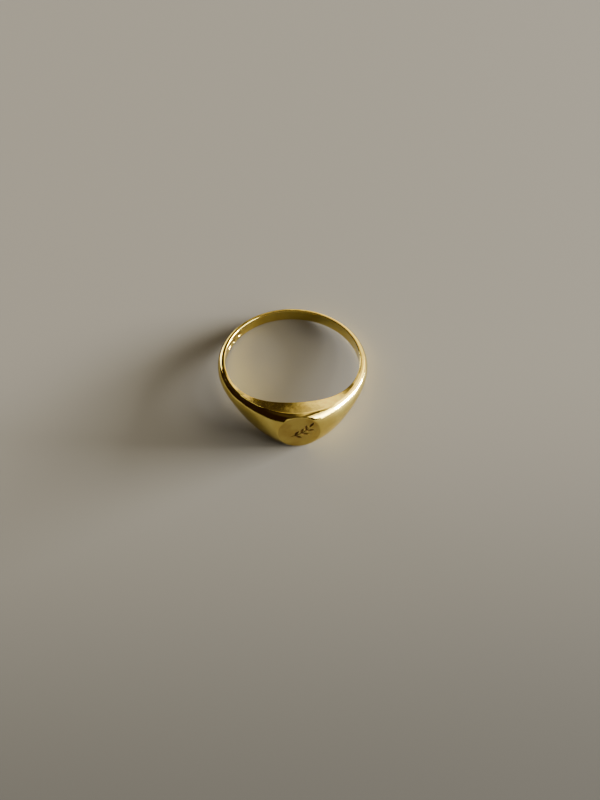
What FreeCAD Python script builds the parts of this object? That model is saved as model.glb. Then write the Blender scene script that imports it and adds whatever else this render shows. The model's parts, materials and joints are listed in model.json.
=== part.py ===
import FreeCAD
import Part
import math
import os

# A signet ring, in millimetres. It is drawn about its own finger hole and then laid down as it rests
# on a table: on its side, with the head towards -Y and the crest of the head tipped up a little.
#
# Every cross-section is drawn in the half-plane at an angle from the head, in degrees. It goes from
# the bore wall, over a small bevel, along the flat side of the ring, round a crisp crease, and over
# the dome to the crown. The middle of the head is at 0 and the back of the shank at 180.

# Finger hole: 16.5 mm across, US size 6
BORE_R = 8.25
BEVEL = 0.12

# Half the width of the bore wall, which tapers from the head to the back of the shank
WALL_HEAD = 2.10
WALL_BACK = 0.79
WALL_TAPER = 7.6

# Flat sides: their radial width, and how far they lean outwards at the head
SIDE_HEAD = 2.20
SIDE_BACK = 0.27
SIDE_TAPER = 10.2
LEAN = 0.50
LEAN_TAPER = 8

# Round table at the top of the head, at its distance from the bore's axis
TABLE_DISTANCE = 11.11
TABLE_LAND = 0.05
TABLE_R = WALL_HEAD + LEAN - TABLE_LAND

# Crown of the shank and the shoulders: thickness over the bore
CROWN_BACK = 0.67
CROWN_SIDES = 0.52
CROWN_TAPER = 1.03

# Dome: 0.5 is half an ellipse, and less is squarer, as it is towards the table
DOME = 0.5
HEAD_SQUARE = 0.14
HEAD_SQUARE_TAPER = 40
TABLE_SQUARE = 0.30

# Butt joints between head and shank, each filled by a wafer of hard solder
JOINT_ANGLE = 70.0
SOLDER = 0.10

# Engraving: a sprig of leaves cut into the table
STEM_R = 3.2
STEM_SPAN = 50.0
STEM_HEADING = 33.0
STEM_BOW = 0.34
STEM_CUT = 0.07
LEAF_LENGTH = 0.92
LEAF_SPREAD = 38.0
LEAF_WIDTH = 0.34
LEAF_DEPTH = 0.08
LEAF_GAP = 0.09
LEAF_STATIONS = (-16.0, -1.0, 13.0)

# Blank punch marks on the bore wall
PUNCH_ANGLE = -122.0
PUNCH_PITCH = 8.5
PUNCH_DEPTH = 0.06
PUNCH_HALF_WIDTH = 0.42
PUNCH_HALF_HEIGHT = 0.36

# The loft: how many points lie on half a dome, and how deep it reaches into the bore before the
# bore is cut
DOME_POINTS = 10
INSIDE = 0.30

X = FreeCAD.Vector(1, 0, 0)
Y = FreeCAD.Vector(0, 1, 0)
Z = FreeCAD.Vector(0, 0, 1)
ORIGIN = FreeCAD.Vector(0, 0, 0)


def taper(angle, power):
    """1 at the head, falling to 0 at the back."""
    return ((1 + math.cos(math.radians(angle))) / 2) ** power


def wall(angle):
    """Half the width of the bore wall."""
    return WALL_BACK + (WALL_HEAD - WALL_BACK) * taper(angle, WALL_TAPER)


def crease(angle):
    """Radius and half-width of the crease between the flat side and the dome."""
    radius = BORE_R + SIDE_BACK + (SIDE_HEAD - SIDE_BACK) * taper(angle, SIDE_TAPER)
    return radius, wall(angle) + LEAN * taper(angle, LEAN_TAPER)


TABLE_EDGE = math.degrees(math.atan2(TABLE_R, TABLE_DISTANCE))


def dome_power(angle):
    """The power that shapes the dome."""
    inside = max(0.0, 1 - (angle / TABLE_EDGE) ** 2)
    return DOME - HEAD_SQUARE * taper(angle, HEAD_SQUARE_TAPER) - TABLE_SQUARE * inside ** 3


def table_crown(angle):
    """Radius of the crown above the table, such that the table's plane cuts the domes in a circle."""
    radius, half = crease(angle)
    slope = math.tan(math.radians(angle))
    reach = TABLE_DISTANCE * math.sqrt(1 + slope ** 2)
    edge = max(0.0, TABLE_R ** 2 - (TABLE_DISTANCE * slope) ** 2)
    return radius + (reach - radius) / (1 - edge / half ** 2) ** dome_power(angle)


def shoulder_terms():
    """Height and taper of the shoulders, which leave the table's edge without a kink."""
    step = 0.01
    radians = math.radians(TABLE_EDGE)
    edge = table_crown(TABLE_EDGE)
    slope = (edge - table_crown(TABLE_EDGE - step)) / math.radians(step)
    height = edge - BORE_R - CROWN_BACK - CROWN_SIDES * taper(TABLE_EDGE, CROWN_TAPER)
    sides = CROWN_SIDES * CROWN_TAPER * taper(TABLE_EDGE, CROWN_TAPER - 1) * math.sin(radians) / 2
    power = -2 * (slope + sides) * taper(TABLE_EDGE, 1) / (height * math.sin(radians))
    return height / taper(TABLE_EDGE, power), power


SHOULDER, SHOULDER_TAPER = shoulder_terms()


def crown(angle):
    """Radius of the crown, the top of the dome."""
    if abs(angle) < TABLE_EDGE:
        return table_crown(angle)
    sides = CROWN_SIDES * taper(angle, CROWN_TAPER)
    return BORE_R + CROWN_BACK + sides + SHOULDER * taper(angle, SHOULDER_TAPER)


def at(angle, radius, height):
    """A point of the ring about its own bore, with the head towards -Y."""
    turn = math.radians(angle)
    return FreeCAD.Vector(radius * math.sin(turn), -radius * math.cos(turn), height)


def section(angle):
    """The cross-section at an angle, closed inside the bore."""
    crease_r, crease_h = crease(angle)
    lean = (crease_h - wall(angle)) / (crease_r - BORE_R)
    rise = crown(angle) - crease_r
    power = dome_power(angle)
    dome = []
    for i in range(-DOME_POINTS, DOME_POINTS + 1):
        up = math.cos(math.pi / 2 * i / DOME_POINTS)
        out = math.sqrt(max(0.0, 1 - up ** (1 / power)))
        dome.append(at(angle, crease_r + rise * up, math.copysign(out, i) * crease_h))
    bevel_h = wall(angle) + BEVEL * lean
    inner_h = wall(angle) - BEVEL - INSIDE * (1 + lean)
    inner = [at(angle, BORE_R - INSIDE, side * inner_h) for side in (-1, 1)]
    bevel = [at(angle, BORE_R + BEVEL, side * bevel_h) for side in (-1, 1)]
    spline = Part.BSplineCurve()
    spline.interpolate(Points=dome, Parameters=[i / DOME_POINTS for i in range(2 * DOME_POINTS + 1)])
    return Part.Wire([
        Part.makeLine(inner[1], inner[0]),
        Part.makeLine(inner[0], bevel[0]),
        Part.makeLine(bevel[0], dome[0]),
        spline.toShape(),
        Part.makeLine(dome[-1], bevel[1]),
        Part.makeLine(bevel[1], inner[1]),
    ])


def stations(first, last):
    """Angles of the sections from first to last, closest at the head."""
    angles = [a / 2 for a in range(0, 60, 5)] + [5.0 * a for a in range(6, 13)]
    angles += [7.5 * a for a in range(9, 25)]
    around = sorted({turn + side * a for a in angles for side in (-1, 1) for turn in (0, 360)})
    return [first] + [a for a in around if first < a < last] + [last]


def arc_of_ring(first, last):
    """The ring's body from one angle to another, with its bore and its table cut."""
    body = Part.makeLoft([section(a) for a in stations(first, last)], True, False)
    bore = Part.makeCylinder(BORE_R, 4 * WALL_HEAD, -2 * WALL_HEAD * Z)
    reach = 4 * TABLE_R
    corner = FreeCAD.Vector(-reach, -TABLE_DISTANCE - reach, -reach)
    return body.cut(bore).cut(Part.makeBox(2 * reach, reach, 2 * reach, corner))


def leaf(x, z, heading):
    """A cutter for one leaf: a lens turned about its long axis, which lies just above the table."""
    radius = (LEAF_WIDTH ** 2 / 4 + LEAF_DEPTH ** 2) / (2 * LEAF_DEPTH)
    tip = LEAF_LENGTH / 2 * math.sqrt(radius / LEAF_DEPTH)
    middle = FreeCAD.Vector(0, radius, 0)
    lens = Part.Arc(-tip * X, middle, tip * X).toShape()
    half = Part.Face(Part.Wire([lens, Part.makeLine(tip * X, -tip * X)]))
    spindle = half.revolve(ORIGIN, X, 360)
    spindle.rotate(ORIGIN, Y, -heading)
    spindle.translate(FreeCAD.Vector(x, -TABLE_DISTANCE - radius + LEAF_DEPTH, z))
    return spindle


def sprig():
    """Cutters for the engraving: a curved stem, with pairs of leaves and one at its tip."""
    heading = math.radians(STEM_HEADING)
    across = FreeCAD.Vector(math.sin(heading), 0, -math.cos(heading))
    centre = (STEM_BOW - STEM_R) * across
    stem = Part.makeTorus(STEM_R, STEM_CUT, ORIGIN, Z, 0, 360, STEM_SPAN)
    stem.rotate(ORIGIN, Z, -STEM_SPAN / 2)
    stem.rotate(ORIGIN, X, 90)
    stem.rotate(ORIGIN, Y, 90 - STEM_HEADING)
    stem.translate(centre - TABLE_DISTANCE * Y)
    cutters = [stem]
    for station in LEAF_STATIONS + (STEM_SPAN / 2,):
        turn = heading + math.radians(station)
        outward = FreeCAD.Vector(math.sin(turn), 0, -math.cos(turn))
        spreads = (-LEAF_SPREAD, LEAF_SPREAD) if station in LEAF_STATIONS else (0.0,)
        for spread in spreads:
            aim = turn + math.radians(spread)
            along = FreeCAD.Vector(math.cos(aim), 0, math.sin(aim))
            foot = centre + STEM_R * outward + (LEAF_GAP + LEAF_LENGTH / 2) * along
            cutters.append(leaf(foot.x, foot.z, math.degrees(aim)))
    return cutters


def punches():
    """Cutters for three blank marks on the bore wall: an oval, a shield and a cut-corner square."""
    w, h = PUNCH_HALF_WIDTH, PUNCH_HALF_HEIGHT
    oval = Part.Ellipse(ORIGIN, w, h).toShape()
    shield = [(-w, h), (w, h), (w, 0), (0, -1.2 * h), (-w, 0), (-w, h)]
    square = [(-w, h / 2), (-w / 2, h), (w / 2, h), (w, h / 2)]
    square += [(-x, -y) for x, y in square] + square[:1]
    outlines = [oval]
    for corners in (shield, square):
        outlines.append(Part.makePolygon([FreeCAD.Vector(x, y, 0) for x, y in corners]))
    cutters = []
    for i, outline in enumerate(outlines):
        tool = Part.Face(Part.Wire(outline)).extrude((1 + PUNCH_DEPTH) * Z)
        tool.rotate(ORIGIN, X, 90)
        tool.translate((1 - BORE_R) * Y)
        tool.rotate(ORIGIN, Z, PUNCH_ANGLE + (i - 1) * PUNCH_PITCH)
        cutters.append(tool)
    return cutters


def cut_all(shape, cutters):
    for cutter in cutters:
        shape = shape.cut(cutter)
    return shape


def pieces():
    """The four pieces, about the bore."""
    half = math.degrees(SOLDER / 2 / BORE_R)
    inner, outer = JOINT_ANGLE - half, JOINT_ANGLE + half
    return {
        "signet_head": cut_all(arc_of_ring(-inner, inner), sprig()),
        "shank": cut_all(arc_of_ring(outer, 360 - outer), punches()),
        "solder_seam_left": arc_of_ring(-outer, -inner),
        "solder_seam_right": arc_of_ring(inner, outer),
    }


def lay_down(shapes):
    """Lay the ring on its side, on its head's lower crease and the back of its shank, and centre it."""
    head_r, head_h = crease(0)
    back_r, back_h = crease(180)
    rise = crown(180) - back_r
    tilt = math.atan2(head_h - back_h, head_r + back_r)
    cos, sin = math.cos(tilt), math.sin(tilt)
    front = TABLE_DISTANCE * cos + TABLE_R * sin
    back = back_r * cos + math.hypot(rise * cos, back_h * sin)
    under = back_r * sin + math.hypot(rise * sin, back_h * cos)
    shift = FreeCAD.Vector(0, (front - back) / 2, under)
    for shape in shapes:
        shape.rotate(ORIGIN, X, -math.degrees(tilt))
        shape.translate(shift)
    return math.degrees(tilt), shift


def main():
    os.makedirs("parts", exist_ok=True)
    made = pieces()
    tilt, shift = lay_down(list(made.values()))
    print("tilt", round(tilt, 4), "bore axis at", [round(v, 4) for v in shift])
    for name, shape in made.items():
        solid = shape.Solids[0]
        print(name, len(shape.Solids), solid.isValid(), round(solid.Volume, 3), len(solid.Faces))
        solid.exportStep("parts/" + name + ".step")


main()
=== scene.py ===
import json
import math

import bmesh
import bpy
import numpy as np
from mathutils import Matrix, Vector, geometry


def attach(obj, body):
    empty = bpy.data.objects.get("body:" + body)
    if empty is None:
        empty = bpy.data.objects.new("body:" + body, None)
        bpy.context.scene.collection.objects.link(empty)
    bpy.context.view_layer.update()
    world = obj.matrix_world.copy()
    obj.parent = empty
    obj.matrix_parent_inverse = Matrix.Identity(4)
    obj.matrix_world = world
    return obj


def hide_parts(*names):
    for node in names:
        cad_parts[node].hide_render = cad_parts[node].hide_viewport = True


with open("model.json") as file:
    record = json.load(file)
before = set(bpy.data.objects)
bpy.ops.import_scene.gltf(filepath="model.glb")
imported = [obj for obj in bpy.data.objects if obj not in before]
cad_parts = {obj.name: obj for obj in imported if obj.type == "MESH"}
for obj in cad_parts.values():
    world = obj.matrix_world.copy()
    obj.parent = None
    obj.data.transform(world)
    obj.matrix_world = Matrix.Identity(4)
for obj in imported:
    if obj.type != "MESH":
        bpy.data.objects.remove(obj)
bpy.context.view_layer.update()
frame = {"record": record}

# The looks of a signet ring. The ring is drawn in millimetres about its own bore, with the bore along
# Z and the head towards -Y, and to_row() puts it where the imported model's bore is, in metres.
# Angles go round the bore from the head and are in radians.

MOUNTS = {mount["name"]: mount for mount in frame["record"]["mounts"]}
BORE = MOUNTS["finger_bore"]
TABLE = MOUNTS["signet_table"]

MM = 0.001
BORE_R = BORE["dims"]["r_mm"]
BORE_CENTRE = Vector(BORE["pos_m"])
BORE_AXIS = Vector(BORE["axis"]).normalized()

# The section, as the CAD model has it, in millimetres and radians
BEVEL = 0.12
WALL_HEAD, WALL_BACK, WALL_TAPER = 2.10, 0.79, 7.6
SIDE_HEAD, SIDE_BACK, SIDE_TAPER = 2.20, 0.27, 10.2
LEAN, LEAN_TAPER = 0.50, 8
TABLE_DISTANCE = (Vector(TABLE["pos_m"]) - BORE_CENTRE).length / MM
TABLE_LAND = 0.05
TABLE_R = WALL_HEAD + LEAN - TABLE_LAND
TABLE_EDGE = math.atan2(TABLE_R, TABLE_DISTANCE)
CROWN_BACK, CROWN_SIDES, CROWN_TAPER = 0.67, 0.52, 1.03
DOME, HEAD_SQUARE, HEAD_SQUARE_TAPER, TABLE_SQUARE = 0.5, 0.14, 40, 0.30
JOINT = math.radians(70)
SOLDER = 0.10
HALF_SEAM = SOLDER / 2 / BORE_R

# Blank punch marks on the bore wall: their place, their size, and the width of their sloping walls
PUNCH_ANGLE = math.radians(360 - 122)
PUNCH_PITCH = math.radians(8.5)
PUNCH_DEPTH, PUNCH_WALL = 0.06, 0.05
PUNCH_HALF_W, PUNCH_HALF_H = 0.42, 0.36
SHIELD_POINT, SHIELD_SLOPE = 1.2, 0.7
CORNER_CUT, CORNER_SLOPE = 1.5, 0.27

# Engraving: a sprig of leaves cut into the table
STEM_R, STEM_SPAN = 3.2, math.radians(50)
STEM_HEADING, STEM_BOW = math.radians(33), 0.34
STEM_CUT, STEM_DEPTH = 0.07, 0.06
LEAF_LENGTH, LEAF_WIDTH, LEAF_DEPTH, LEAF_GAP = 0.92, 0.34, 0.08, 0.09
LEAF_SPREAD = math.radians(38)
LEAF_STATIONS = [math.radians(degrees) for degrees in (-16, -1, 13)]
# How bluntly a cut ends, and its cross-section: shares of its half-width and of its depth
STEM_BLUNT, LEAF_BLUNT = 6, 2
CUT_PROFILE = ((-1, 0.0), (-0.5, 0.7), (0, 1.0), (0.5, 0.7), (1, 0.0))

# Rounding of the edges by hand polishing
CREASE_ROUND = 0.05
TABLE_ROUND = 0.06
ROUND_STEPS = 5

# How finely the meshes are made. Round the table the dome's grid is polar, out to the angle POLAR.
POLAR = math.radians(34)
MID_STEPS = 132
SIDE_STEPS = 56
POLAR_STEPS = 44
POLAR_CROWDING = 1.3
SHOULDER_STEPS = 64
SHANK_STEP = math.radians(1.0)
FACET_STEPS = 10
WALL_STEPS = 12
GROOVE_STEPS = 16
PUNCH_REACH, PUNCH_STEP = math.radians(14), math.radians(0.25)
PUNCH_ROWS = 40
# A small share of the way out from the table's edge, and how close points are that weld
PROBE = 0.01
WELD = 1e-5
# The sorts of face, as places in a piece's list of materials. Cut and table faces take darker golds, which
# paint shade on them
PLAIN_FACE, CUT_FACE, TABLE_FACE = 0, 1, 2

# Metals: two tones that they drift between, and their roughness
METALS = {
    "yellow_gold": ((0.79, 0.63, 0.16, 1.0), (0.71, 0.53, 0.12, 1.0), 0.09),
    # Engraved cuts: gold darkened far below the rest, which paints the shade in the cuts
    "yellow_gold_cut_painted_shade": ((0.19, 0.105, 0.03, 1.0), (0.07, 0.035, 0.01, 1.0), 0.4),
    # Punch marks: darker gold, which paints shade in them
    "yellow_gold_punched_painted_shade": ((0.44, 0.30, 0.07, 1.0), (0.30, 0.19, 0.04, 1.0), 0.12),
    # Table: darker gold, which paints the shade of the darker floor that it reflects
    "yellow_gold_table_painted_shade": ((0.62, 0.47, 0.12, 1.0), (0.48, 0.33, 0.08, 1.0), 0.13),
    "hard_solder": ((0.79, 0.65, 0.19, 1.0), (0.72, 0.56, 0.14, 1.0), 0.14),
}
# Their polish: features to the millimetre, and heights in metres. A range says where in the noise a
# change begins and ends.
TONE_SCALE, TONE_RANGE = 0.5, (0.35, 0.68)
LINE_SCALE, LINE_RANGE, LINE_STRETCH = 6, (0.55, 0.75), (0.05, 1, 1)
LINE_DEPTH, LINE_ROUGHNESS = 1.0e-6, 0.05
SMEAR_SCALE, SMEAR_RANGE = 0.9, (0.3, 0.7)
SMEAR_LEAST, SMEAR_MOST = 0.8, 1.25
WAVE_SCALE, WAVE_DEPTH = 0.55, 35e-6

# Camera: the point that it looks at, on the floor inside the ring, and its place about that point
CAMERA_TARGET = BORE_CENTRE + Vector((0.00062, -0.00453, -BORE_CENTRE.z))
CAMERA_DISTANCE = 0.15843
CAMERA_AZIMUTH = math.radians(-5.64)
CAMERA_ELEVATION = math.radians(54.05)
CAMERA_ROLL = math.radians(1.69)
CAMERA_LENS = 58.5

# Floor: plain paper with a painted shadow that darkens it in front of the ring, between two places along Y
FLOOR_REACH = 6.0
FLOOR_SHADOW_RANGE = (-0.06, 0.005)
FLOOR_COLOR = (0.153, 0.140, 0.113, 1.0)
FLOOR_SHADOW_COLOR = (0.057, 0.053, 0.043, 1.0)
FLOOR_ROUGHNESS = 0.9

# Room: dim daylight on a half of it, on a stretch of its wall and on its ceiling. Each light rises
# and falls between two azimuths, from +Y towards +X, or two elevations, in degrees.
DAYLIGHT = (1.0, 0.85, 0.56, 1.0)
ROOM_RISE, ROOM_FALL, ROOM_LIGHT = (-30, 45), (115, 140), 0.10
WALL_RISE, WALL_FALL, WALL_TOP, WALL_LIGHT = (-1, 13), (66, 84), (34, 52), 1.9
CEILING_RISE, CEILING_LIGHT = (40, 70), 0.06
ROOM_COLOR = (0.020, 0.009, 0.005, 1.0)
BACKDROP = (0.40, 0.37, 0.30, 1.0)

# Lamps, as the ring sees them: two azimuths and two elevations, then the radiance and the colour
LAMP_DISTANCE = 9.0
LAMPS = {
    "low_sun": ((66, 96), (3, 8), 540, (1, 1, 1)),
    "sun_glow": ((70, 94), (8, 15), 170, (1, 1, 1)),
    "window": ((78, 130), (0.5, 24), 19, (1, 0.99, 0.93)),
    "window_middle": ((80, 128), (25, 38), 8.5, (1, 0.99, 0.93)),
    "window_top": ((82, 125), (40, 54), 3, (1, 0.94, 0.8)),
    "curtain": ((42, 76), (15, 34), 3.8, (1, 0.87, 0.58)),
    "shelf": ((2, 40), (7, 13.5), 0.9, (1, 0.85, 0.55)),
    "shelf_top": ((-6, 24), (22, 36), 0.9, (1, 0.85, 0.55)),
    "behind_camera": ((148, 216), (1, 34), 0.5, (1, 0.95, 0.85)),
    "doorway": ((-41, -29), (0.5, 27), 10, (1, 0.97, 0.9)),
    "doorway_side": ((-28, -15), (0.5, 30), 2.6, (1, 0.93, 0.75)),
}


def taper(angle, power):
    """1 at the head, falling to 0 at the back."""
    return ((1 + np.cos(angle)) / 2) ** power


def wall(angle):
    """Half the width of the bore wall."""
    return WALL_BACK + (WALL_HEAD - WALL_BACK) * taper(angle, WALL_TAPER)


def crease(angle):
    """Radius and half-width of the crease between the flat side and the dome."""
    radius = BORE_R + SIDE_BACK + (SIDE_HEAD - SIDE_BACK) * taper(angle, SIDE_TAPER)
    return radius, wall(angle) + LEAN * taper(angle, LEAN_TAPER)


def dome_power(angle):
    """The power that shapes the dome: 0.5 is half an ellipse, less is squarer."""
    inside = np.maximum(0.0, 1 - (angle / TABLE_EDGE) ** 2)
    return DOME - HEAD_SQUARE * taper(angle, HEAD_SQUARE_TAPER) - TABLE_SQUARE * inside ** 3


def table_crown(angle):
    """Radius of the crown above the table, such that the table's plane cuts the domes in a circle."""
    radius, half = crease(angle)
    slope = np.tan(angle)
    reach = TABLE_DISTANCE * np.sqrt(1 + slope ** 2)
    edge = np.maximum(0.0, TABLE_R ** 2 - (TABLE_DISTANCE * slope) ** 2)
    return radius + (reach - radius) / (1 - edge / half ** 2) ** dome_power(angle)


def shoulder_terms():
    """Height and taper of the shoulders, which leave the table's edge without a kink."""
    step = 1e-4
    edge = table_crown(TABLE_EDGE)
    slope = (edge - table_crown(TABLE_EDGE - step)) / step
    height = edge - BORE_R - CROWN_BACK - CROWN_SIDES * taper(TABLE_EDGE, CROWN_TAPER)
    sides = CROWN_SIDES * CROWN_TAPER * taper(TABLE_EDGE, CROWN_TAPER - 1) * math.sin(TABLE_EDGE) / 2
    power = -2 * (slope + sides) * taper(TABLE_EDGE, 1) / (height * math.sin(TABLE_EDGE))
    return height / taper(TABLE_EDGE, power), power


SHOULDER, SHOULDER_TAPER = shoulder_terms()


def crown(angle):
    """Radius of the crown, the top of the dome."""
    inside = np.clip(angle, -TABLE_EDGE, TABLE_EDGE)
    sides = CROWN_SIDES * taper(angle, CROWN_TAPER)
    shoulder = BORE_R + CROWN_BACK + sides + SHOULDER * taper(angle, SHOULDER_TAPER)
    return np.where(np.abs(angle) < TABLE_EDGE, table_crown(inside), shoulder)


def at(angle, radius, height):
    """Points of the ring about its own bore."""
    angle, radius, height = np.broadcast_arrays(angle, radius, height)
    return np.stack([radius * np.sin(angle), -radius * np.cos(angle), height], -1)


def dome(angle, swing):
    """The domed outside. swing goes from -90 degrees at the lower crease to 90 at the upper one."""
    radius, half = crease(angle)
    up = np.maximum(np.cos(swing), 0.0)
    out = np.sqrt(np.maximum(0.0, 1 - up ** (1 / dome_power(angle))))
    return at(angle, radius + (crown(angle) - radius) * up, np.sign(swing) * out * half)


def side(angle, radius):
    """The upper flat side, from the bore's edge to the crease."""
    outer, half = crease(angle)
    share = (radius - BORE_R) / (outer - BORE_R)
    return at(angle, radius, wall(angle) + share * (half - wall(angle)))


def unit(vectors):
    """The same directions, one unit long."""
    return vectors / np.maximum(np.linalg.norm(vectors, axis=-1, keepdims=True), 1e-12)


def normals_of(surface, u, v, step=1e-4):
    """Unit normals of a surface at its parameters."""
    along = surface(u + step, v) - surface(u - step, v)
    across = surface(u, v + step) - surface(u, v - step)
    return unit(np.cross(along, across))


def mirrored(grid):
    """The same points or normals on the lower half of the ring."""
    return grid * np.array([1.0, 1.0, -1.0])


def rounding(first, corner, last, first_normal, last_normal):
    """Rows that round an edge between two borders, without the borders themselves."""
    rows, normals = [], []
    for i in range(1, ROUND_STEPS):
        t = i / ROUND_STEPS
        rows.append((1 - t) ** 2 * first + 2 * t * (1 - t) * corner + t * t * last)
        normals.append(unit((1 - t) * first_normal + t * last_normal))
    return np.array(rows), np.array(normals)


class Shell:
    """Grids of points with their normals, which weld into one closed mesh where they meet."""

    def __init__(self):
        self.points, self.normals, self.faces, self.flat, self.sorts = [], [], [], [], []
        self.count = 0

    def add(self, points, normals):
        """Adds points with their normals, and gives their numbers in the same layout."""
        self.points.append(points.reshape(-1, 3))
        self.normals.append(normals.reshape(-1, 3))
        first = self.count
        self.count += len(self.points[-1])
        return first + np.arange(len(self.points[-1])).reshape(points.shape[:-1])

    def grid(self, points, normals, depths=None):
        """Adds a smooth grid of quads. Those that are sunk are cuts in the metal."""
        ids = self.add(points, normals)
        quads = np.stack([ids[:-1, :-1], ids[:-1, 1:], ids[1:, 1:], ids[1:, :-1]], -1).reshape(-1, 4)
        sunk = np.zeros(len(quads)) if depths is None else depths.reshape(-1)[quads - ids[0, 0]].min(1)
        self.sorts += np.where(sunk > 0, CUT_FACE, PLAIN_FACE).tolist()
        self.faces += quads.tolist()

    def facets(self, points, faces, sorts=(PLAIN_FACE,)):
        """Adds flat faces, each of a sort."""
        ids = self.add(points, np.zeros_like(points))
        start = len(self.faces)
        self.faces += [[int(ids[i]) for i in face] for face in faces]
        self.flat += range(start, len(self.faces))
        self.sorts += sorts

    def build(self, name):
        """Welds the points that meet, drops what folds up or repeats, and makes the object."""
        points = np.concatenate(self.points)
        keys = np.round(points / WELD).astype(np.int64)
        _, first, inverse = np.unique(keys, axis=0, return_index=True, return_inverse=True)
        inverse = inverse.reshape(-1)
        normals = np.zeros((len(first), 3))
        np.add.at(normals, inverse, np.concatenate(self.normals))
        faces, flat, sorts, seen = [], [], [], set()
        flats = set(self.flat)
        for i, face in enumerate(self.faces):
            ids = []
            for j in face:
                if not ids or ids[-1] != inverse[j]:
                    ids.append(int(inverse[j]))
            if len(ids) > 1 and ids[0] == ids[-1]:
                ids.pop()
            key = tuple(sorted(ids))
            if len(set(ids)) < 3 or len(set(ids)) != len(ids) or key in seen:
                continue
            seen.add(key)
            faces.append(ids)
            flat.append(i in flats)
            sorts.append(self.sorts[i])
        mesh = bpy.data.meshes.new(name)
        mesh.from_pydata(points[first].tolist(), [], faces)
        mesh.polygons.foreach_set("material_index", sorts)
        polish(mesh, unit(normals), flat)
        obj = bpy.data.objects.new(name, mesh)
        bpy.context.scene.collection.objects.link(obj)
        return obj


def polish(mesh, normals, flat):
    """Faces all outwards, with the surfaces' own normals on the smooth ones."""
    edit = bmesh.new()
    edit.from_mesh(mesh)
    bmesh.ops.recalc_face_normals(edit, faces=edit.faces)
    edit.to_mesh(mesh)
    edit.free()
    mesh.transform(to_row())
    turn = np.array(to_row().to_3x3().normalized())
    smooth = (normals @ turn.T).tolist()
    loops = []
    for face in mesh.polygons:
        face.use_smooth = True
        loops += [face.normal if flat[face.index] else smooth[i] for i in face.vertices]
    mesh.normals_split_custom_set(loops)


def to_row():
    """From the ring's own millimetres to the row's metres."""
    across = Vector((1, 0, 0))
    back = BORE_AXIS.cross(across)
    turn = Matrix((across, back, BORE_AXIS)).transposed().to_4x4()
    return Matrix.Translation(BORE_CENTRE) @ turn @ Matrix.Scale(MM, 4)


def dome_limit(angle):
    """How far the dome swings before the crease's rounding starts."""
    rise = crown(angle) - crease(angle)[0]
    return np.arccos(np.minimum(CREASE_ROUND / rise, 0.5))


def sleeve(shell, angles, wall_rows=WALL_STEPS, sink=None):
    """Everything but the dome: the bore wall, its rounded edges, the flat sides and the creases.
    sink gives the depth of the marks in the bore wall."""
    outer, half = crease(angles)
    limit = dome_limit(angles)
    corner = at(angles, outer, half)
    dome_edge = dome(angles, limit)
    side_edge = side(angles, outer - CREASE_ROUND)
    dome_normal = normals_of(dome, angles, limit)
    radii = np.linspace(outer - CREASE_ROUND, BORE_R + BEVEL, FACET_STEPS + 1)
    flat = side(angles[None], radii)
    flat_normals = normals_of(side, angles[None] + 0 * radii, radii)
    flat_normals *= np.sign(flat_normals[..., 2:])
    edge = wall(angles)
    inward = unit(at(angles, -np.ones_like(angles), 0))
    rows, normals = rounding(dome_edge, corner, side_edge, dome_normal, flat_normals[0])
    wall_edge = at(angles, BORE_R, edge - BEVEL)
    brim, brim_normals = rounding(
        flat[-1], at(angles, BORE_R, edge), wall_edge, flat_normals[-1], inward)
    top = np.concatenate([dome_edge[None], rows, flat, brim, wall_edge[None]])
    top_normals = np.concatenate([dome_normal[None], normals, flat_normals, brim_normals, inward[None]])
    shell.grid(top, top_normals)
    shell.grid(mirrored(top), mirrored(top_normals))
    heights = np.linspace(1, -1, wall_rows + 1)[:, None] * (edge - BEVEL)
    grid_angles = angles[None] + 0 * heights
    depth = sink(grid_angles, heights) if sink else 0 * heights
    wall_grid = at(grid_angles, BORE_R + depth, heights)
    wall_normals = np.broadcast_to(inward[None], wall_grid.shape)
    if sink:
        wall_normals = unit(np.cross(np.gradient(wall_grid, axis=0), np.gradient(wall_grid, axis=1)))
        wall_normals = wall_normals * np.sign((wall_normals * inward[None]).sum(-1, keepdims=True))
    shell.grid(wall_grid, wall_normals, depth)


def dome_strip(shell, angles):
    """The dome between two angles, from crease to crease."""
    shares = np.linspace(-1, 1, SIDE_STEPS + 1)[:, None]
    swing = shares * dome_limit(angles)
    grid_angles = angles[None] + 0 * swing
    shell.grid(dome(grid_angles, swing), normals_of(dome, grid_angles, swing))


def end_outline(angle):
    """The section's outline at an end: the dome, and the upper half of the rest."""
    angles = np.array([angle])
    outer, half = crease(angle)
    limit = dome_limit(angles)
    swing = np.linspace(-1, 1, SIDE_STEPS + 1)[:, None] * limit
    arc = dome(angles[None] + 0 * swing, swing)[:, 0]
    side_edge = side(angle, outer - CREASE_ROUND)
    side_rows = side(angle, np.linspace(outer - CREASE_ROUND, BORE_R + BEVEL, FACET_STEPS + 1))
    none = np.zeros(3)
    crease_rows, _ = rounding(arc[-1], at(angle, outer, half), side_edge, none, none)
    wall_edge = at(angle, BORE_R, wall(angle) - BEVEL)
    brim, _ = rounding(side_rows[-1], at(angle, BORE_R, wall(angle)), wall_edge, none, none)
    top = np.concatenate([crease_rows, side_rows, brim, wall_edge[None]])
    return arc, top


def close_end(shell, angle, wall_rows=WALL_STEPS):
    """The flat butt joint at one end of an arc of the ring."""
    arc, top = end_outline(angle)
    share = np.linspace(1, -1, wall_rows + 1)[1:-1, None]
    inner = at(np.full(len(share), angle), BORE_R, (share * (wall(angle) - BEVEL))[:, 0])
    loop = np.concatenate([arc, top, inner, mirrored(top)[::-1]])
    shell.facets(loop, [list(range(len(loop)))])


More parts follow.
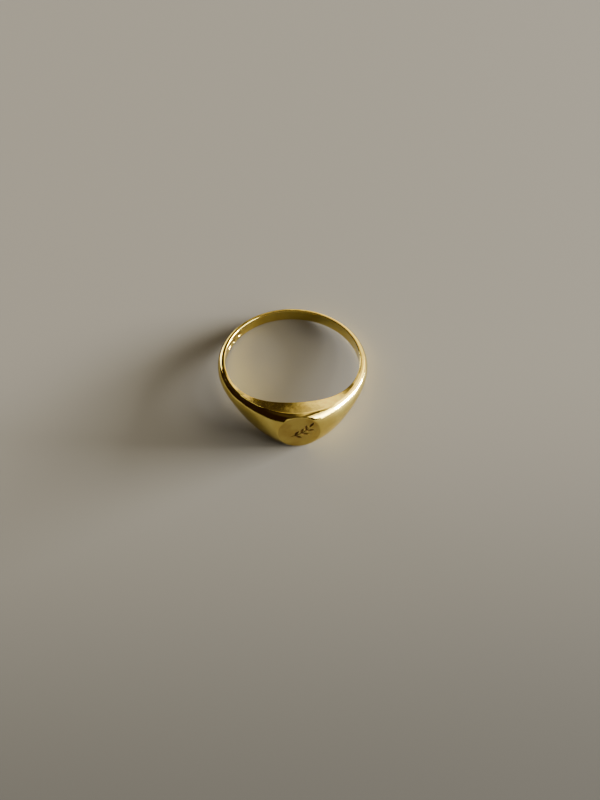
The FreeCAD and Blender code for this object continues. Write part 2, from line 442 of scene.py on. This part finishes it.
def shank_angles():
    """Angles along the shank, closer together at the punch marks."""
    first, last = JOINT + HALF_SEAM, 2 * math.pi - JOINT - HALF_SEAM
    coarse = np.linspace(first, last, round((last - first) / SHANK_STEP) + 1)
    start, stop = PUNCH_ANGLE - PUNCH_REACH, PUNCH_ANGLE + PUNCH_REACH
    fine = np.linspace(start, stop, round(2 * PUNCH_REACH / PUNCH_STEP) + 1)
    outside = coarse[(coarse < start - SHANK_STEP / 2) | (coarse > stop + SHANK_STEP / 2)]
    return np.sort(np.concatenate([outside, fine]))


def oval(x, y):
    """How far a place lies inside an oval mark."""
    return PUNCH_HALF_H * (1 - np.hypot(x / PUNCH_HALF_W, y / PUNCH_HALF_H))


def shield(x, y):
    """How far a place lies inside a mark with a point at its foot."""
    point = (y + SHIELD_POINT * PUNCH_HALF_H * (1 - np.abs(x) / PUNCH_HALF_W)) * SHIELD_SLOPE
    return np.minimum(np.minimum(PUNCH_HALF_W - np.abs(x), PUNCH_HALF_H - y), point)


def cut_corners(x, y):
    """How far a place lies inside an oblong mark with cut corners."""
    sides = np.minimum(PUNCH_HALF_W - np.abs(x), PUNCH_HALF_H - np.abs(y))
    corner = (CORNER_CUT - np.abs(x) / PUNCH_HALF_W - np.abs(y) / PUNCH_HALF_H) * CORNER_SLOPE
    return np.minimum(sides, corner)


def punch_depth(angle, height):
    """Depth of the three blank punch marks in the bore wall."""
    depth = np.zeros(np.broadcast(angle, height).shape)
    for i, inside in enumerate((oval, shield, cut_corners)):
        along = (angle - PUNCH_ANGLE - (i - 1) * PUNCH_PITCH) * BORE_R
        share = np.clip(inside(along, height) / PUNCH_WALL, 0, 1)
        depth = np.maximum(depth, PUNCH_DEPTH * share * share * (3 - 2 * share))
    return depth


def make_shank():
    """The hoop behind the head, from joint to joint."""
    shell = Shell()
    angles = shank_angles()
    sleeve(shell, angles, PUNCH_ROWS, punch_depth)
    dome_strip(shell, angles)
    close_end(shell, angles[0], PUNCH_ROWS)
    close_end(shell, angles[-1], PUNCH_ROWS)
    return shell.build("shank_polished")


def make_seam(name, angle):
    """One wafer of solder in a butt joint."""
    shell = Shell()
    angles = np.array([angle - HALF_SEAM, angle + HALF_SEAM])
    sleeve(shell, angles)
    dome_strip(shell, angles)
    close_end(shell, angles[0])
    close_end(shell, angles[1])
    return shell.build(name)


def table_edge(turn):
    """Angle and swing of the table's edge, by the polar angle on the table."""
    angle = np.arctan2(TABLE_R * np.cos(turn), TABLE_DISTANCE)
    out = TABLE_R * np.sin(turn) / crease(angle)[1]
    up = (1 - out ** 2) ** dome_power(angle)
    return angle, np.sign(out) * np.arccos(np.clip(up, 0, 1))


def head_loop():
    """The head's loop of dome points that the shoulders and the creases join, and the matching
    polar angles on the table."""
    right = np.linspace(-1, 1, SIDE_STEPS + 1)[:-1]
    top = np.linspace(1, -1, MID_STEPS + 1)[:-1] * POLAR
    edge = dome_limit(np.array([POLAR]))
    angles = np.concatenate([0 * right + POLAR, top, 0 * right - POLAR, -top])
    swings = np.concatenate([right * edge, dome_limit(top), -right * edge, -dome_limit(top)])
    corner = math.pi / 2 * SIDE_STEPS / (SIDE_STEPS + MID_STEPS)
    turns = 2 * math.pi * np.arange(len(angles)) / len(angles) - corner
    return angles, swings, turns


def on_table(radius, turn):
    """Points on the table's plane, at a radius and a polar angle."""
    turn = np.asarray(turn)
    flat = 0 * turn - TABLE_DISTANCE
    return np.stack([radius * np.cos(turn), flat, radius * np.sin(turn)], -1)


def closed(rows):
    """Grid rows that end where they start."""
    return np.concatenate([rows, rows[:, :1]], 1)


def head_front(shell):
    """The dome round the table, out to the shoulders, and the rounded edge of the table."""
    angles, swings, turns = head_loop()
    edge_angles, edge_swings = table_edge(turns)

    def partway(share):
        return edge_angles + share * (angles - edge_angles), edge_swings + share * (swings - edge_swings)

    speed = np.linalg.norm(dome(*partway(PROBE)) - on_table(TABLE_R, turns), axis=-1) / PROBE
    start = TABLE_ROUND / speed
    shares = start + (1 - start) * np.linspace(0, 1, POLAR_STEPS + 1)[:, None] ** POLAR_CROWDING
    grid_angles, grid_swings = partway(shares)
    points = dome(grid_angles, grid_swings)
    normals = normals_of(dome, grid_angles, grid_swings)
    shell.grid(closed(points), closed(normals))
    up = np.broadcast_to(np.array([0.0, -1.0, 0.0]), points[0].shape)
    inner = on_table(TABLE_R - TABLE_ROUND, turns)
    rows, row_normals = rounding(points[0], on_table(TABLE_R, turns), inner, normals[0], up)
    rows = np.concatenate([points[:1], rows, inner[None]])
    row_normals = np.concatenate([normals[:1], row_normals, up[None]])
    shell.grid(closed(rows), closed(row_normals))
    return inner


def groove(path, width, depth, blunt):
    """A tapering engraved cut along a path on the table: its points as x, z and depth, and its lines."""
    share = np.linspace(-1, 1, len(path))
    swell = 1 - np.abs(share) ** blunt
    along = np.gradient(path, axis=0)
    across = unit(np.stack([-along[:, 1], along[:, 0]], -1))
    points, lines = [], []
    ends = [np.append(path[i], 0.0) for i in (0, -1)]
    points += ends
    for place, sink in CUT_PROFILE:
        line = path + across * (place * width / 2 * swell)[:, None]
        row = np.column_stack([line, sink * depth * swell])[1:-1]
        ids = [0] + list(range(len(points), len(points) + len(row))) + [1]
        points += list(row)
        lines += list(zip(ids[:-1], ids[1:]))
    return points, lines


def sprig():
    """The engraved cuts: a curved stem, with pairs of leaves and one at its tip."""
    across = np.array([math.sin(STEM_HEADING), -math.cos(STEM_HEADING)])
    centre = (STEM_BOW - STEM_R) * across
    turns = STEM_HEADING + np.linspace(-STEM_SPAN / 2, STEM_SPAN / 2, 3 * GROOVE_STEPS)
    stem = centre + STEM_R * np.stack([np.sin(turns), -np.cos(turns)], -1)
    cuts = [groove(stem, 2 * STEM_CUT, STEM_DEPTH, STEM_BLUNT)]
    for station in LEAF_STATIONS + [STEM_SPAN / 2]:
        turn = STEM_HEADING + station
        foot = centre + STEM_R * np.array([math.sin(turn), -math.cos(turn)])
        for spread in (-LEAF_SPREAD, LEAF_SPREAD) if station in LEAF_STATIONS else (0.0,):
            aim = turn + spread
            reach = LEAF_GAP + np.linspace(0, LEAF_LENGTH, GROOVE_STEPS + 1)
            leaf = foot + reach[:, None] * np.array([math.cos(aim), math.sin(aim)])
            cuts.append(groove(leaf, LEAF_WIDTH, LEAF_DEPTH, LEAF_BLUNT))
    return cuts


def engraved_table(shell, rim):
    """The flat table inside its rounded edge, with the sprig cut into it."""
    points = [(x, z, 0.0) for x, _, z in rim]
    lines = [(i, (i + 1) % len(rim)) for i in range(len(rim))]
    for cut_points, cut_lines in sprig():
        first = len(points)
        points += [tuple(p) for p in cut_points]
        lines += [(first + i, first + j) for i, j in cut_lines]
    flat = [Vector(p[:2]) for p in points]
    found, _, faces, origins, _, _ = geometry.delaunay_2d_cdt(flat, lines, [], 0, 1e-6)
    depths = [points[ids[0]][2] if ids else 0.0 for ids in origins]
    solid = np.array([(p.x, depth - TABLE_DISTANCE, p.y) for p, depth in zip(found, depths)])
    sorts = [CUT_FACE if any(depths[i] > 0 for i in face) else TABLE_FACE for face in faces]
    shell.facets(solid, [list(face) for face in faces], sorts)


def make_head():
    """The head, with the engraved table and the two shoulders."""
    shell = Shell()
    left = np.linspace(HALF_SEAM - JOINT, -POLAR, SHOULDER_STEPS + 1)
    middle = np.linspace(-POLAR, POLAR, MID_STEPS + 1)
    right = -left[::-1]
    sleeve(shell, np.concatenate([left, middle[1:-1], right]))
    dome_strip(shell, left)
    dome_strip(shell, right)
    engraved_table(shell, head_front(shell))
    close_end(shell, left[0])
    close_end(shell, right[-1])
    return shell.build("signet_head_polished")


def node(tree, kind, **values):
    """A node with its sockets and its settings. A value may be another node's output."""
    made = tree.nodes.new("ShaderNode" + kind)
    for name, value in values.items():
        if name not in made.inputs:
            setattr(made, name, value)
        elif isinstance(value, bpy.types.NodeSocket):
            tree.links.new(value, made.inputs[name])
        else:
            made.inputs[name].default_value = value
    return made


def compute(tree, operation, *inputs):
    """The output of a math node, whose inputs are numbers or other nodes' outputs."""
    made = tree.nodes.new("ShaderNodeMath")
    made.operation = operation
    for socket, value in zip(made.inputs, inputs):
        if isinstance(value, bpy.types.NodeSocket):
            tree.links.new(value, socket)
        else:
            socket.default_value = value
    return made.outputs[0]


def ring_coordinates(tree):
    """Places about the bore in millimetres: plain ones, and ones along the hoop, out and across it."""
    place, turn, scale = to_row().inverted().decompose()
    row = node(tree, "TexCoord").outputs["Object"]
    mapped = node(tree, "Mapping", Vector=row, Location=place, Rotation=turn.to_euler(), Scale=scale)
    parts = node(tree, "SeparateXYZ", Vector=mapped.outputs[0]).outputs
    hoop = compute(tree, "MULTIPLY", compute(tree, "ARCTAN2", parts["X"], parts["Y"]), BORE_R)
    flat = node(tree, "CombineXYZ", X=parts["X"], Y=parts["Y"])
    out = node(tree, "VectorMath", operation="LENGTH")
    tree.links.new(flat.outputs[0], out.inputs[0])
    polar = node(tree, "CombineXYZ", X=hoop, Y=out.outputs["Value"], Z=parts["Z"])
    return mapped.outputs[0], polar.outputs[0]


def noise(tree, vector, scale, detail, stretch=(1, 1, 1)):
    """A noise whose scale is in features to the millimetre."""
    stretched = node(tree, "Mapping", Vector=vector, Scale=stretch)
    made = node(tree, "TexNoise", Vector=stretched.outputs[0], Scale=scale, Detail=detail)
    return made.outputs["Fac"]


def between(tree, value, start, end, low, high):
    """A smooth ramp of a value to a range of results."""
    ramp = node(tree, "MapRange", interpolation_type="SMOOTHSTEP", Value=value)
    for name, limit in (("From Min", start), ("From Max", end), ("To Min", low), ("To Max", high)):
        ramp.inputs[name].default_value = limit
    return ramp.outputs["Result"]


def blend(tree, share, first, second):
    """A colour between two others."""
    mix = tree.nodes.new("ShaderNodeMix")
    mix.data_type = "RGBA"
    tree.links.new(share, mix.inputs["Factor"])
    mix.inputs["A"].default_value = first
    mix.inputs["B"].default_value = second
    return mix.outputs["Result"]


def polished(name, color, deep, roughness):
    """Metal polished by hand: slow waves, fine lines along the hoop, and uneven tone and gloss."""
    material = bpy.data.materials.new(name)
    material.use_nodes = True
    tree = material.node_tree
    shader = tree.nodes["Principled BSDF"]
    shader.inputs["Metallic"].default_value = 1.0
    plain, polar = ring_coordinates(tree)
    tone = between(tree, noise(tree, plain, TONE_SCALE, 4), *TONE_RANGE, 0, 1)
    tree.links.new(blend(tree, tone, color, deep), shader.inputs["Base Color"])
    lines = between(tree, noise(tree, polar, LINE_SCALE, 3, LINE_STRETCH), *LINE_RANGE, 0, 1)
    least, most = roughness * SMEAR_LEAST, roughness * SMEAR_MOST
    smears = between(tree, noise(tree, plain, SMEAR_SCALE, 5), *SMEAR_RANGE, least, most)
    gloss = compute(tree, "MULTIPLY_ADD", lines, LINE_ROUGHNESS, smears)
    tree.links.new(gloss, shader.inputs["Roughness"])
    waves = noise(tree, plain, WAVE_SCALE, 2)
    slow = node(tree, "Bump", Strength=1.0, Distance=WAVE_DEPTH, Height=waves)
    fine = node(tree, "Bump", Strength=1.0, Distance=LINE_DEPTH, Height=lines, Normal=slow.outputs[0])
    fine.invert = True
    tree.links.new(fine.outputs[0], shader.inputs["Normal"])
    return material


def finish_piece(obj, materials, slot, *nodes):
    """Gives a piece its materials, hides the CAD nodes that it replaces and gives it its body. Its slot is
    not used.
    """
    for material in materials:
        obj.data.materials.append(material)
    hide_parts(*nodes)
    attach(obj, "root")


def make_camera():
    """The camera, in front of the ring, above it and a little to its left."""
    data = bpy.data.cameras.new("camera")
    data.lens = CAMERA_LENS
    data.sensor_width = 36.0
    data.clip_start = 0.005
    data.clip_end = 20.0
    camera = bpy.data.objects.new("camera", data)
    bpy.context.scene.collection.objects.link(camera)
    flat = math.cos(CAMERA_ELEVATION)
    right = Vector((math.cos(CAMERA_AZIMUTH), math.sin(CAMERA_AZIMUTH), 0))
    back = Vector((right.y * flat, -right.x * flat, math.sin(CAMERA_ELEVATION)))
    up = back.cross(right)
    across = math.cos(CAMERA_ROLL) * right + math.sin(CAMERA_ROLL) * up
    turn = Matrix((across, back.cross(across), back)).transposed().to_4x4()
    camera.matrix_world = Matrix.Translation(CAMERA_TARGET + CAMERA_DISTANCE * back) @ turn
    bpy.context.scene.camera = camera


def make_floor():
    """Plain pale paper, with a painted shadow that darkens it in front of the ring."""
    mesh = bpy.data.meshes.new("floor")
    corners = [(x * FLOOR_REACH, y * FLOOR_REACH, 0) for x, y in ((-1, -1), (1, -1), (1, 1), (-1, 1))]
    mesh.from_pydata(corners, [], [(0, 1, 2, 3)])
    floor = bpy.data.objects.new("floor", mesh)
    bpy.context.scene.collection.objects.link(floor)
    material = bpy.data.materials.new("floor_paper")
    material.use_nodes = True
    tree = material.node_tree
    shader = tree.nodes["Principled BSDF"]
    place = node(tree, "SeparateXYZ", Vector=node(tree, "TexCoord").outputs["Object"])
    # Painted shadow: the paper darkens towards the front, along Y
    share = between(tree, place.outputs["Y"], *FLOOR_SHADOW_RANGE, 0, 1)
    tree.links.new(blend(tree, share, FLOOR_SHADOW_COLOR, FLOOR_COLOR), shader.inputs["Base Color"])
    shader.inputs["Roughness"].default_value = FLOOR_ROUGHNESS
    mesh.materials.append(material)


def make_lamp(name, azimuths, elevations, radiance, color):
    """An area light that the ring sees between two azimuths and two elevations."""
    low, high = (math.radians(degrees) for degrees in azimuths)
    bottom, top = (math.radians(degrees) for degrees in elevations)
    azimuth, elevation = (low + high) / 2, (bottom + top) / 2
    flat = math.cos(elevation)
    aim = Vector((math.sin(azimuth) * flat, math.cos(azimuth) * flat, math.sin(elevation)))
    data = bpy.data.lights.new(name, "AREA")
    data.shape = "RECTANGLE"
    data.size = 2 * LAMP_DISTANCE * flat * math.tan((high - low) / 2)
    data.size_y = 2 * LAMP_DISTANCE * math.tan((top - bottom) / 2)
    data.energy = radiance * math.pi * data.size * data.size_y
    data.color = color
    light = bpy.data.objects.new(name, data)
    bpy.context.scene.collection.objects.link(light)
    light.visible_camera = False
    turn = aim.to_track_quat("Z", "Y").to_matrix().to_4x4()
    light.matrix_world = Matrix.Translation(LAMP_DISTANCE * aim) @ turn


def background(tree, color, strength=1.0):
    """A background's shader, whose strength is a number or another node's output."""
    return node(tree, "Background", Color=color, Strength=strength).outputs[0]


def make_world():
    """A dim room that is brighter towards the window's side, and plain where the camera sees it."""
    world = bpy.data.worlds.new("studio")
    bpy.context.scene.world = world
    world.use_nodes = True
    tree = world.node_tree
    tree.nodes.clear()

    def ramp(value, degrees, low, high):
        start, end = (math.radians(angle) for angle in degrees)
        return between(tree, value, start, end, low, high)

    aim = node(tree, "SeparateXYZ", Vector=node(tree, "TexCoord").outputs["Generated"]).outputs
    azimuth = compute(tree, "ARCTAN2", aim["X"], aim["Y"])
    elevation = compute(tree, "ARCSINE", aim["Z"])
    room, falling = ramp(azimuth, ROOM_RISE, 0, ROOM_LIGHT), ramp(azimuth, ROOM_FALL, 1, 0)
    room = compute(tree, "MULTIPLY", room, falling)
    side_wall, falling = ramp(azimuth, WALL_RISE, 0, WALL_LIGHT), ramp(azimuth, WALL_FALL, 1, 0)
    side_wall = compute(tree, "MULTIPLY", side_wall, falling)
    side_wall = compute(tree, "MULTIPLY", side_wall, ramp(elevation, WALL_TOP, 1, 0))
    ceiling = ramp(elevation, CEILING_RISE, 0, CEILING_LIGHT)
    strength = compute(tree, "ADD", compute(tree, "ADD", room, side_wall), ceiling)
    seen = tree.nodes.new("ShaderNodeAddShader")
    tree.links.new(background(tree, DAYLIGHT, strength), seen.inputs[0])
    tree.links.new(background(tree, ROOM_COLOR), seen.inputs[1])
    mix = node(tree, "MixShader", Fac=node(tree, "LightPath").outputs["Is Camera Ray"])
    tree.links.new(seen.outputs[0], mix.inputs[1])
    tree.links.new(background(tree, BACKDROP), mix.inputs[2])
    node(tree, "OutputWorld", Surface=mix.outputs[0])


# The cut, punched and table golds are darker copies of the gold: painted shade
gold, shaded_cut_gold, shaded_punched_gold, shaded_table_gold, solder = (polished(name, *look) for name, look in METALS.items())
finish_piece(make_head(), (gold, shaded_cut_gold, shaded_table_gold), "yellow_gold", "signet_head")
finish_piece(make_shank(), (gold, shaded_punched_gold), "yellow_gold", "shank")
finish_piece(make_seam("solder_left_polished", -JOINT), (solder,), "hard_solder", "solder_seam_left")
finish_piece(make_seam("solder_right_polished", JOINT), (solder,), "hard_solder", "solder_seam_right")
make_camera()
make_floor()
make_world()
for lamp, look in LAMPS.items():
    make_lamp(lamp, *look)
